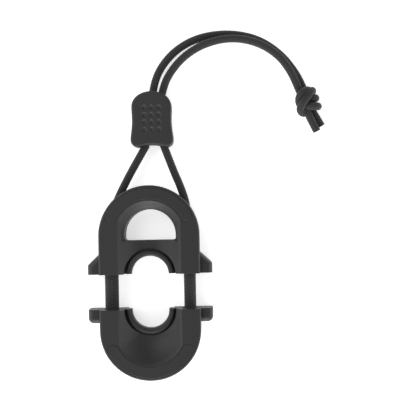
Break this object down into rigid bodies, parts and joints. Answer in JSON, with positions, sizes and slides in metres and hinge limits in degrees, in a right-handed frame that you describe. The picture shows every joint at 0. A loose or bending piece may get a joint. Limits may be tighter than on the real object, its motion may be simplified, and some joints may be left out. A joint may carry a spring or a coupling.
{
  "type": "strap button clamp",
  "caption": "Two-piece moulded clamp that closes round a strap button's neck, drawn together by a braided cord with a sliding cord lock and a knotted tail.",
  "frame": {"origin": "on the rear face plane, on the centre line, midway along the two halves as they lie apart at rest", "axes": "+X across the clamp, +Y from the lower half towards the cord slider, +Z out of the front face"},
  "size_m": [0.0727, 0.1049, 0.0096],
  "materials": {
    "moulded_shell": "fine moulded texture",
    "arc_cover": "fine moulded texture",
    "slider_plastic": "satin moulded",
    "elastic_cord": "tight braid",
    "braided_cord": "tight braid"
  },
  "bodies": {
    "upper_half": {"upper_body": "moulded_shell", "upper_arc_cover": "arc_cover", "cord_feed_left": "braided_cord", "cord_feed_right": "braided_cord"},
    "lower_half": {"lower_body": "moulded_shell", "lower_arc_cover": "arc_cover", "cord_leg_left": "elastic_cord", "cord_leg_right": "elastic_cord", "cord_loop": "elastic_cord"},
    "slider": {"cord_slider": "slider_plastic", "cord_tail_outer": "braided_cord", "cord_tail_inner": "braided_cord", "cord_knot": "braided_cord", "cord_end_outer": "braided_cord", "cord_end_inner": "braided_cord"}
  },
  "joints": [
    {"name": "close_slide", "type": "slide", "parent": "upper_half", "child": "lower_half", "axis": [0, 1, 0], "range_m": [0, 0.01045]},
    {"name": "slider_slide", "type": "slide", "parent": "upper_half", "child": "slider", "axis": [0, -1, 0], "range_m": [0, 0.0105], "deforming": ["cord_feed_left", "cord_feed_right"]}
  ]
}
